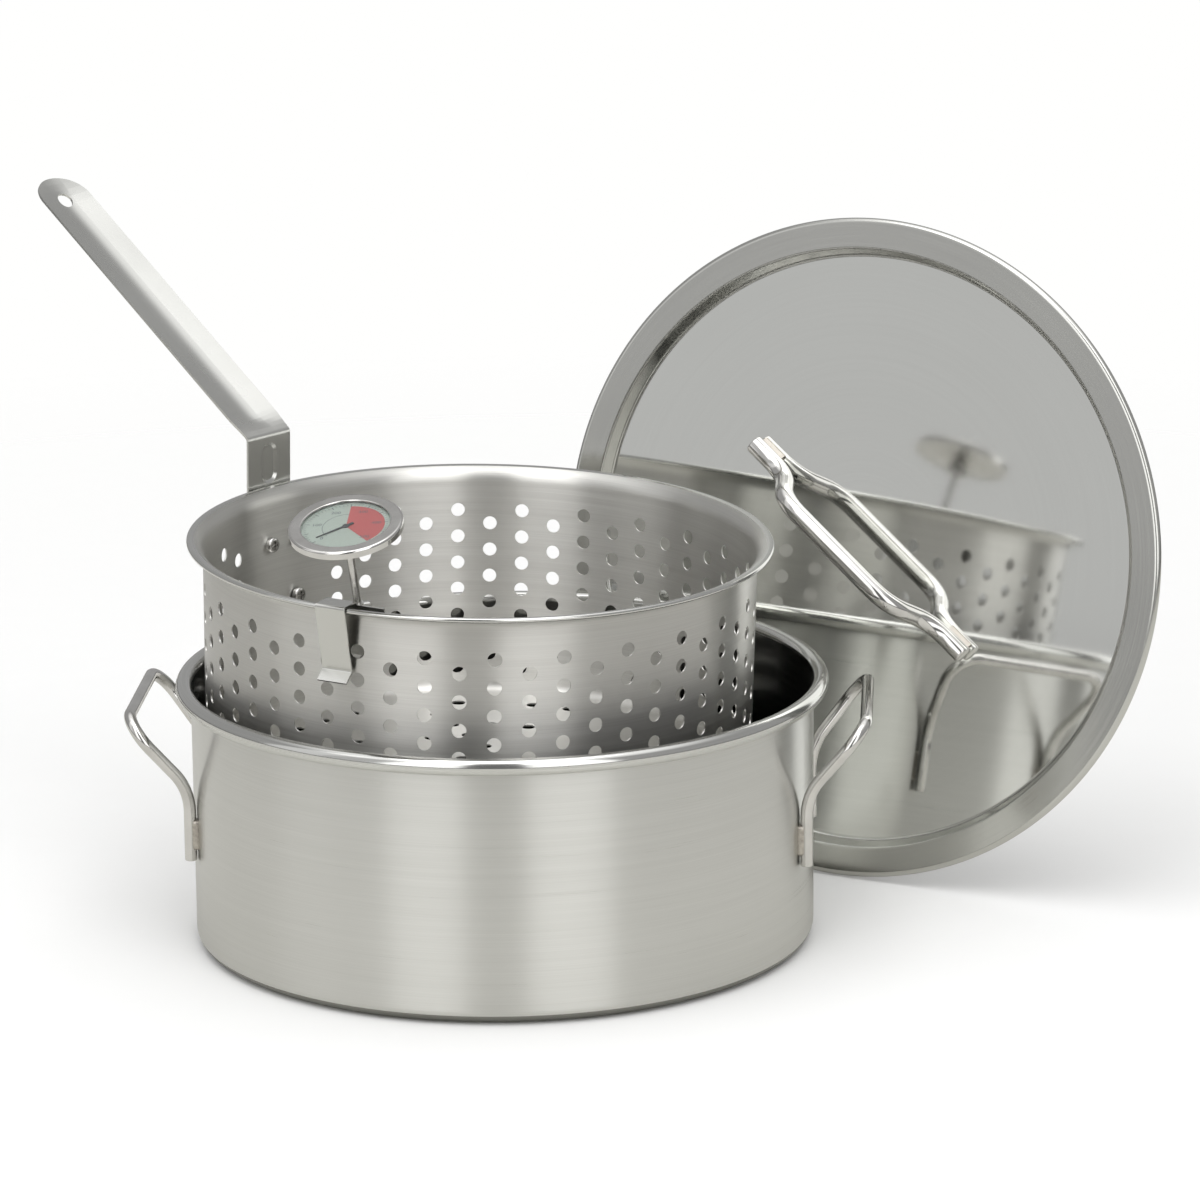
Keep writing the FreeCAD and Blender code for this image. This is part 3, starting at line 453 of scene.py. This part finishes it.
PAINT = {
    "pot_shell": pot_steel,
    "pot_handle_right": rod_steel, "pot_handle_left": rod_steel,
    "pot_handle_welds_right": weld_steel, "pot_handle_welds_left": weld_steel,
    "basket_shell": basket_steel, "basket_handle": grip_steel,
    "basket_handle_screws": fastener_steel, "basket_handle_washers": fastener_steel,
    "basket_handle_nuts": fastener_steel,
    "thermometer_clip": clip_steel, "thermometer_bezel": rod_steel,
    "thermometer_lens": lens_glass(),
    "thermometer_gasket": plain("gasket_rubber", (0.05, 0.05, 0.05), (0.02, 0.02, 0.02),
                                (0.5, 0.7)),
    "thermometer_dial": plain("dial_face", (0.80, 0.83, 0.80), (0.74, 0.78, 0.76), (0.4, 0.5)),
    "thermometer_case": drawn_steel("case_steel", (0.64, 0.63, 0.61), (0.5, 0.49, 0.47),
                                    (0.2, 0.3)),
    "thermometer_fitting": fastener_steel, "thermometer_stem": fastener_steel,
    "thermometer_coil": fastener_steel, "thermometer_spindle": fastener_steel,
    "thermometer_needle": plain("needle_paint", (0.05, 0.055, 0.06), (0.02, 0.02, 0.025),
                                (0.35, 0.5)),
    "lid_pan": lid_steel, "lid_handle": rod_steel, "lid_handle_welds": weld_steel,
}


for name, node in nodes.items():
    node.data.materials.clear()
    node.data.materials.append(PAINT[name])


# ---------------------------------------------------------------- pot, in millimetres
POT_WALL = 152.4                  # outer radius of the wall
WELD_SEAM = 0.3                   # a welded rod stands off its sheet by this much


def pot():
    """Straight drawn wall, round base corner and a rim rolled outwards.  The rim is polished; the
    inside has painted shade, a much darker copy of the steel."""
    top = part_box("pot_shell")[1]
    wall, thick, corner, roll = POT_WALL, 0.8, 6.5, 4.1
    centre, level = top.x / MM - roll, top.z / MM - roll
    profile = [(0, 0)] + arc(wall - corner, corner, corner, -90, 0)
    profile += arc(centre, level, roll - thick, 180, -80)
    profile += arc(centre, level, roll, -80, 180)
    profile += arc(wall - corner, corner, corner - thick, 0, -90) + [(0, thick)]
    sheet = Sheet()
    # Bands: 1 is the rim, 2 is the inside with its painted shade, 0 is the outside.
    lathe(sheet, held(profile), even_turn(400),
          lambda across, height: 1 if height > level - 0.5
          else 2 if across < wall - 0.4 and height > 0.4 else 0)
    place("pot_spun", sheet.mesh("pot_spun"), POT, "pot", (pot_steel, rim_steel, painted_shade_steel),
          "pot_steel", "pot_shell")


def pot_handles():
    """Two bent rods.  Each has two upright feet against the wall, two arms that lean
    outwards and apart, and a straight grip between them."""
    radius, foot_half, grip_half = 3.0, 41.5, 53.5
    foot_low, foot_high, grip_high = 45.5, 81.5, 117.5
    foot_bend, grip_bend = 30, 14
    foot = math.sqrt((POT_WALL + WELD_SEAM + radius) ** 2 - foot_half ** 2)
    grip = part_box("pot_handle_right")[1].x / MM - radius
    half = [(foot, foot_half, foot_low), (foot, foot_half, foot_high),
            (grip, grip_half, grip_high)]
    points = half + [(x, -y, z) for x, y, z in reversed(half)]
    for side, turn in (("right", 0), ("left", math.pi)):
        sheet = Sheet()
        rod(sheet, points, radius, (foot_bend, grip_bend, grip_bend, foot_bend))
        place(f"pot_rod_{side}", sheet.mesh(f"pot_rod_{side}"),
              Matrix.Rotation(turn, 4, "Z"), "pot", (rod_steel,), "rod_steel",
              f"pot_handle_{side}")


# ------------------------------------- basket, in millimetres and degrees from its rim
FOOT, FOOT_HEIGHT = 134.2, -112.0           # outer radius and height where the side starts
SIDE_TOP, COVE_HEIGHT = 135.35, -6.3        # outer radius and height where it ends
THICK, HOLE = 0.7, 3.5                      # sheet and hole radius
FIRST, STEP, ROWS = 21.1, 13.9, 7           # depth of the first row, and between rows
START, TURN, COLUMNS = 127.5, 7.0, 48       # azimuth of the first column, and between them
SIDES = 8                                   # mesh steps along each edge of a hole's cell


def on_wall(azimuth, height, inside):
    """Point of the basket's side at an azimuth in degrees and a height."""
    share = (height - FOOT_HEIGHT) / (COVE_HEIGHT - FOOT_HEIGHT)
    radius = FOOT + (SIDE_TOP - FOOT) * share - (THICK if inside else 0)
    a = math.radians(azimuth)
    return (radius * math.cos(a), radius * math.sin(a), height)


def plain_patch(sheet, azimuths, heights):
    """Grid of the side with no holes, both faces of the sheet."""
    wide, high = len(azimuths), len(heights)
    for inside in (False, True):
        points = [on_wall(a, h, inside) for h in heights for a in azimuths]
        faces = []
        for row in range(high - 1):
            for i in range(wide - 1):
                low = row * wide + i
                face = [low, low + 1, low + wide + 1, low + wide]
                faces.append(face[::-1] if inside else face)
        sheet.add(points, faces)


def hole_patch(sheet, azimuth, height):
    """One cell of the side round a punched hole, both faces and the hole's wall."""
    along = [-1 + 2 * i / SIDES for i in range(SIDES)]
    edge = ([(1, v) for v in along] + [(-v, 1) for v in along]
            + [(-1, -v) for v in along] + [(v, -1) for v in along])
    count = len(edge)
    radius = on_wall(0, height, False)[0]
    collar = 0.5
    rings = []
    for reach in (HOLE, HOLE + collar):
        circle = []
        for i in range(count):
            a = math.radians(-45 + 360 * i / count)
            circle.append((azimuth + math.degrees(math.asin(reach * math.cos(a) / radius)),
                           height + reach * math.sin(a)))
        rings.append(circle)
    rings.append([(azimuth + x * TURN / 2, height + y * STEP / 2) for x, y in edge])
    for inside in (False, True):
        points = [on_wall(a, h, inside) for ring in rings for a, h in ring]
        faces = []
        for level in range(len(rings) - 1):
            for i in range(count):
                j = (i + 1) % count
                low, top = level * count, (level + 1) * count
                face = [low + i, top + i, top + j, low + j]
                faces.append(face[::-1] if inside else face)
        sheet.add(points, faces)
    outer = [on_wall(a, h, False) for a, h in rings[0]]
    inner = [on_wall(a, h, True) for a, h in rings[0]]
    sheet.add(outer + inner, [[i, (i + 1) % count, count + (i + 1) % count, count + i]
                              for i in range(count)])


def floor_patch(sheet, edge, radius, low, top):
    """Flat floor with rings of holes, both faces and the holes' walls."""
    step, ring_count, sides = 18.5, 6, 24
    outline = [(radius * math.cos(math.radians(a)), radius * math.sin(math.radians(a)))
               for a in edge]
    centres = [(0.0, 0.0)]
    for ring in range(1, ring_count + 1):
        holes = 6 * ring
        centres += [(step * ring * math.cos(2 * math.pi * i / holes),
                     step * ring * math.sin(2 * math.pi * i / holes))
                    for i in range(holes)]
    circle = [(HOLE * math.cos(2 * math.pi * i / sides), HOLE * math.sin(2 * math.pi * i / sides))
              for i in range(sides)]
    points = [Vector(p) for p in outline]
    edges = [(i, (i + 1) % len(outline)) for i in range(len(outline))]
    for x, y in centres:
        start = len(points)
        points += [Vector((x + dx, y + dy)) for dx, dy in circle]
        edges += [(start + i, start + (i + 1) % sides) for i in range(sides)]
        rim = [(x + dx, y + dy) for dx, dy in circle]
        sheet.add([(a, b, low) for a, b in rim] + [(a, b, top) for a, b in rim],
                  [[i, sides + i, sides + (i + 1) % sides, (i + 1) % sides]
                   for i in range(sides)])
    flat, _, triangles, *_ = delaunay_2d_cdt(points, edges, [], 1, 1e-6)
    kept = []
    for triangle in triangles:
        middle = sum((flat[i] for i in triangle), Vector((0, 0))) / len(triangle)
        if all(math.dist(middle, centre) > HOLE * 0.98 for centre in centres):
            a, b, c = (flat[i] for i in triangle[:3])
            turned = (b - a).cross(c - b) < 0
            kept.append(triangle[::-1] if turned else list(triangle))
    sheet.add([(p.x, p.y, top) for p in flat], kept)
    sheet.add([(p.x, p.y, low) for p in flat], [face[::-1] for face in kept])


def basket():
    """Perforated side and floor, round corner, coved rim with a rolled edge."""
    fine = [START + TURN / 2 - TURN * COLUMNS + i * TURN / SIDES
            for i in range(COLUMNS * SIDES)]
    blank, blank_steps = 360 - TURN * COLUMNS, 28
    gap = [START + TURN / 2 + blank * i / blank_steps for i in range(blank_steps)]
    turn = fine + gap
    heights = [-FIRST + STEP / 2 - i * STEP / SIDES for i in range(ROWS * SIDES + 1)][::-1]
    sheet = Sheet()
    plain_patch(sheet, gap + [START + TURN / 2 + blank], heights)
    for column in range(COLUMNS):
        azimuth, shifted = START - TURN * column, column % 2
        for row in range(ROWS - shifted):
            hole_patch(sheet, azimuth, -FIRST - STEP * (row + shifted / 2))
        if shifted:
            across = [azimuth - TURN / 2 + i * TURN / SIDES for i in range(SIDES + 1)]
            plain_patch(sheet, across, heights[:SIDES // 2 + 1])
            plain_patch(sheet, across, heights[-SIDES // 2 - 1:])
    low, top = heights[0], heights[-1]
    edge, bead = 142.15, 1.2                # middle of the rolled edge, and its radius
    under, over = 6.8, 7.5                  # radii of the cove's two faces
    cove = [on_wall(0, top, False)[::2]]
    cove += arc(edge, COVE_HEIGHT, under, 180, 99.25)
    cove += arc(edge, 0, bead, 159.4, 450, 15)
    cove += arc(edge, COVE_HEIGHT, over, 90, 180)
    cove += [on_wall(0, top, True)[::2]]
    lathe(sheet, held(cove, 0.1), turn,
          lambda across, height: 1 if across > edge - 2 * bead else 0)
    corner = 6.0
    flat = FOOT - corner
    outside = arc(flat, FOOT_HEIGHT, corner, -90, 0) + [on_wall(0, low, False)[::2]]
    inside = [on_wall(0, low, True)[::2]] + arc(flat, FOOT_HEIGHT, corner - THICK, 0, -90)
    lathe(sheet, outside, turn)
    lathe(sheet, inside, turn)
    floor_patch(sheet, turn, flat, FOOT_HEIGHT - corner, FOOT_HEIGHT - corner + THICK)
    place("basket_spun", sheet.mesh("basket_spun"), BASKET, "basket",
          (basket_steel, rim_steel), "basket_steel", "basket_shell")


# ---------------------------------------------------------------- lid, in millimetres
def lid():
    """Flange with a curved-down edge, a step, the recessed panel and its bent rod."""
    rim, lip, inner, step = 167.15, LID_LIP / MM, 152.6, 1.2
    panel, low, bend, thick = 149.0, -8.0, 1.6, 0.7
    profile = [(0, low - thick)]
    profile += arc(panel - bend, low + bend, bend + thick, -90, 0)
    profile += [(inner - step + thick, -thick - step), (inner + thick, -thick)]
    profile += arc(rim - lip, -lip, lip - thick, 90, 0) + arc(rim - lip, -lip, lip, 0, 90)
    profile += arc(inner, -step, step, 90, 180)
    profile += arc(panel - bend, low + bend, bend, 0, -90) + [(0, low)]
    sheet = Sheet()
    lathe(sheet, held(profile), even_turn(480),
          lambda across, height: 0 if across < panel - bend else 1 if across > inner else 2)
    place("lid_spun", sheet.mesh("lid_spun"), LID, "lid", (lid_steel, flange_steel, step_steel),
          "lid_steel", "lid_pan")
    radius, corner, blunt = 4.8, 20, 1.0
    foot_end, foot_knee, crown = 79, 54.5, 38.7        # from the rod's middle
    rest, high = low + WELD_SEAM + radius, low + 30.5
    half = [(foot_end, 0, rest), (foot_knee, 0, rest), (crown, 0, high)]
    points = half + [(-x, y, z) for x, y, z in reversed(half)]
    sheet = Sheet()
    rod(sheet, points, radius, (corner,) * 4, blunt)
    place("lid_rod", sheet.mesh("lid_rod"), BOW, "lid", (rod_steel,), "rod_steel",
          "lid_handle")


# ---------------------------------------------------------------- dial, in millimetres
def print_ink(name, colour):
    """Printing ink, a little uneven."""
    return plain(name, colour, tuple(0.93 * c for c in colour), (0.45, 0.55))


def dial_print():
    """Printed face: pale field, a red sector at the hot end, ticks and plain numbers.
    Each layer of ink lies a film's height above the one under it."""
    radius, hub, top, film = 22.0, 0.6, 0.05, 0.02
    low_end, sweep = math.radians(-26), -math.radians(270)
    red_from, red_to = 0.5, 1.02                # shares of the scale
    tick_edge, number_circle = 19.9, 14.2
    marks, numbers = 50, 5                      # parts of the scale
    field, red, ink = range(3)
    sheet = Sheet()

    def sector(inner, outer, start, end, level, kind, steps):
        """Part of a ring between two shares of the scale."""
        points, faces = [], []
        for i in range(steps + 1):
            a = low_end + sweep * (start + (end - start) * i / steps)
            for r in (inner, outer):
                points.append((r * math.cos(a), r * math.sin(a), level))
        for i in range(steps):
            faces.append([2 * i, 2 * i + 2, 2 * i + 3, 2 * i + 1])
        sheet.add(points, faces, kind)

    sector(hub, radius, 0, 360 / 270, top, field, 96)
    sector(2 * hub, 18.3, red_from, red_to, top + film, red, 40)
    sector(11.0, 11.25, 0.0, red_from, top + film, ink, 60)
    for index in range(marks + 1):
        share = index / marks
        deep, wide = (2.2, 0.0022) if index % 5 == 0 else (1.2, 0.0012)
        sector(tick_edge - deep, tick_edge, share - wide, share + wide, top + 2 * film, ink, 1)
    inks = (print_ink("dial_field", (0.58, 0.65, 0.59)), print_ink("dial_red", (0.67, 0.12, 0.12)),
            print_ink("dial_ink", (0.10, 0.13, 0.15)))
    place("dial_print", sheet.mesh("dial_print"), DIAL_FACE, "thermometer", inks, "dial_face")
    upright = Matrix.Rotation(low_end + sweep / 2 - math.pi / 2, 4, "Z")
    for index in range(numbers + 1):
        letters = bpy.data.curves.new(f"dial_number_{index}", "FONT")
        letters.body = str(index * 100)
        letters.size = 3.1 * MM
        letters.align_x = letters.align_y = "CENTER"
        shape = bpy.data.objects.new(f"dial_number_{index}", letters)
        bpy.context.scene.collection.objects.link(shape)
        bpy.context.view_layer.update()
        flat = bpy.data.meshes.new_from_object(shape)
        bpy.data.objects.remove(shape)
        angle = low_end + sweep * index / numbers
        spot = Vector((number_circle * math.cos(angle), number_circle * math.sin(angle),
                       top + 2.5 * film))
        flat.transform(Matrix.Translation(spot * MM) @ upright)
        flat.materials.clear()
        place(f"dial_number_{index}", flat, DIAL_FACE, "thermometer", (inks[ink],), "dial_face")


pot()
pot_handles()
basket()
lid()
dial_print()

# ---------------------------------------------------------------- studio
# The camera sees a plain pale backdrop.  Everything else sees a soft sky that is bright
# overhead, with upright softboxes round the front that give the shells their bands.
world = bpy.data.worlds.new("studio")
bpy.context.scene.world = world
world.use_nodes = True
tree = world.node_tree
tree.nodes.clear()


def world_node(kind, **settings):
    made = tree.nodes.new(kind)
    for key, value in settings.items():
        setattr(made, key, value)
    return made


def ramp(value, low_in, high_in, stops):
    """Grey levels along a value, as (value, level) pairs in rising order."""
    spread = world_node("ShaderNodeMapRange")
    spread.inputs["From Min"].default_value = low_in
    spread.inputs["From Max"].default_value = high_in
    tree.links.new(value, spread.inputs["Value"])
    levels = world_node("ShaderNodeValToRGB")
    levels.color_ramp.interpolation = "EASE"
    tree.links.new(spread.outputs[0], levels.inputs["Fac"])
    elements = levels.color_ramp.elements
    while len(elements) < len(stops):
        elements.new(0.5)
    for element, (at, grey) in zip(elements, stops):
        element.position = (at - low_in) / (high_in - low_in)
        element.color = (grey, grey, grey, 1)
    return levels.outputs["Color"]


direction = world_node("ShaderNodeTexCoord").outputs["Generated"]
parts = world_node("ShaderNodeSeparateXYZ")
tree.links.new(direction, parts.inputs[0])
around = world_node("ShaderNodeMath", operation="ARCTAN2")
tree.links.new(parts.outputs["Y"], around.inputs[0])
tree.links.new(parts.outputs["X"], around.inputs[1])
GLOW, GAP, FAINT = 3.2, 0.35, 0.75                     # levels of the front boxes
SIDE_GLOW, WASH_START, WASH_END = 1.55, 1.12, 1.1      # and of the one at the side
boxes = ramp(around.outputs[0], -math.pi, math.pi, [
    (math.radians(degrees), level) for degrees, level in (
        (-180, FAINT), (-176, FAINT), (-173, SIDE_GLOW), (-152, SIDE_GLOW),
        (-149, WASH_START), (-130, WASH_END), (-126, GLOW), (-102, GLOW), (-98, GAP),
        (-79, GAP), (-75, GLOW), (-48, GLOW), (-44, FAINT), (180, FAINT))])
GROUND, HORIZON, LOW_SKY, HIGH_SKY, OVERHEAD = 0.2, 0.24, 0.54, 0.56, 1.25
sky = ramp(parts.outputs["Z"], -1, 1, [
    (-1, GROUND), (-0.03, GROUND), (0.0, HORIZON), (0.02, LOW_SKY), (0.66, HIGH_SKY),
    (0.88, OVERHEAD), (1, OVERHEAD)])
window = ramp(parts.outputs["Z"], -1, 1, [
    (-1, 0), (0.0, 0), (0.02, 1), (0.78, 1), (0.92, 0), (1, 0)])
lit = world_node("ShaderNodeMix", data_type="RGBA", blend_type="MULTIPLY")
tree.links.new(window, lit.inputs["Factor"])
tree.links.new(sky, lit.inputs[6])
tree.links.new(boxes, lit.inputs[7])
BACKDROP = (1, 1, 0.992, 1)
shown = world_node("ShaderNodeBackground")
shown.inputs["Color"].default_value = BACKDROP
shown.inputs["Strength"].default_value = 1.0
felt = world_node("ShaderNodeBackground")
felt.inputs["Strength"].default_value = 1.0
tree.links.new(lit.outputs[2], felt.inputs["Color"])
rays = world_node("ShaderNodeLightPath")
mix = world_node("ShaderNodeMixShader")
tree.links.new(rays.outputs["Is Camera Ray"], mix.inputs["Fac"])
tree.links.new(felt.outputs[0], mix.inputs[1])
tree.links.new(shown.outputs[0], mix.inputs[2])
out = world_node("ShaderNodeOutputWorld")
tree.links.new(mix.outputs[0], out.inputs["Surface"])

MIDDLE = (cad_box[0] + cad_box[1]) / 2


def softbox(name, azimuth, elevation, distance, wide, tall, power):
    light = bpy.data.lights.new(name, "AREA")
    light.shape = "RECTANGLE"
    light.size, light.size_y = wide, tall
    light.energy = power
    lamp = bpy.data.objects.new(name, light)
    bpy.context.scene.collection.objects.link(lamp)
    turn, climb = math.radians(azimuth), math.radians(elevation)
    away = Vector((math.cos(turn) * math.cos(climb), math.sin(turn) * math.cos(climb),
                   math.sin(climb)))
    lamp.location = MIDDLE + away * distance
    lamp.rotation_mode = "QUATERNION"
    lamp.rotation_quaternion = away.to_track_quat("Z", "Y")
    return lamp


softbox("ceiling_light", -100, 80, 1.8, 1.4, 1.2, 8.5)

FLOOR_RADIUS, FADE_FROM, FADE_TO = 1.5, 0.55, 1.35
FLOOR_DROP = 0.0004
disc = bmesh.new()
bmesh.ops.create_circle(disc, cap_ends=True, cap_tris=False, segments=128, radius=FLOOR_RADIUS)
floor_mesh = bpy.data.meshes.new("floor")
disc.to_mesh(floor_mesh)
disc.free()
floor = bpy.data.objects.new("floor", floor_mesh)
bpy.context.scene.collection.objects.link(floor)
floor.location = (MIDDLE.x, MIDDLE.y, -FLOOR_DROP)
paper = Shader("floor_paper")
floor_place = paper.local()
mottle = paper.noise(floor_place, (40, 40, 40))
to_camera = paper.node("ShaderNodeLightPath").outputs["Is Camera Ray"]
colour = paper.node("ShaderNodeMix", data_type="RGBA")      # paler to the camera
paper.link(to_camera, colour.inputs["Factor"])
paper.link(paper.tint(mottle, (0.69, 0.68, 0.64), (0.73, 0.72, 0.68)), colour.inputs[6])
paper.link(paper.tint(mottle, (0.955, 0.955, 0.95), (0.97, 0.97, 0.965)), colour.inputs[7])
matt_paper = paper.surface(Base_Color=colour.outputs[2], Roughness=0.7)
distance = paper.node("ShaderNodeVectorMath", operation="LENGTH")
paper.link(floor_place, distance.inputs[0])
fade = paper.spread(distance.outputs["Value"], 0, 1, FADE_FROM, FADE_TO)
seen = paper.math("MULTIPLY", fade, to_camera)
clear = paper.node("ShaderNodeBsdfTransparent")
faded = paper.node("ShaderNodeMixShader")
paper.link(seen, faded.inputs["Fac"])
paper.link(matt_paper.outputs["BSDF"], faded.inputs[1])
paper.link(clear.outputs["BSDF"], faded.inputs[2])
paper.link(faded.outputs["Shader"], paper.output.inputs["Surface"])
floor_mesh.materials.append(paper.material)

# ---------------------------------------------------------------- camera
camera_data = bpy.data.cameras.new("camera")
camera_data.lens = 165.0
camera_data.sensor_width = 36
camera = bpy.data.objects.new("camera", camera_data)
bpy.context.scene.collection.objects.link(camera)
RIGHTWARDS = Vector((0.99818, 0.05971, -0.00852))
UPWARDS = Vector((-0.00675, 0.25090, 0.96799))
BACKWARDS = Vector((0.05994, -0.96617, 0.25084))
axes = Matrix((RIGHTWARDS, UPWARDS, BACKWARDS)).transposed()
camera.rotation_mode = "QUATERNION"
camera.rotation_quaternion = axes.to_quaternion()
camera.location = (0.20898, -2.59044, 0.83961)
camera_data.clip_start, camera_data.clip_end = 0.05, 30
bpy.context.scene.camera = camera
bpy.context.scene.view_settings.view_transform = "Standard"
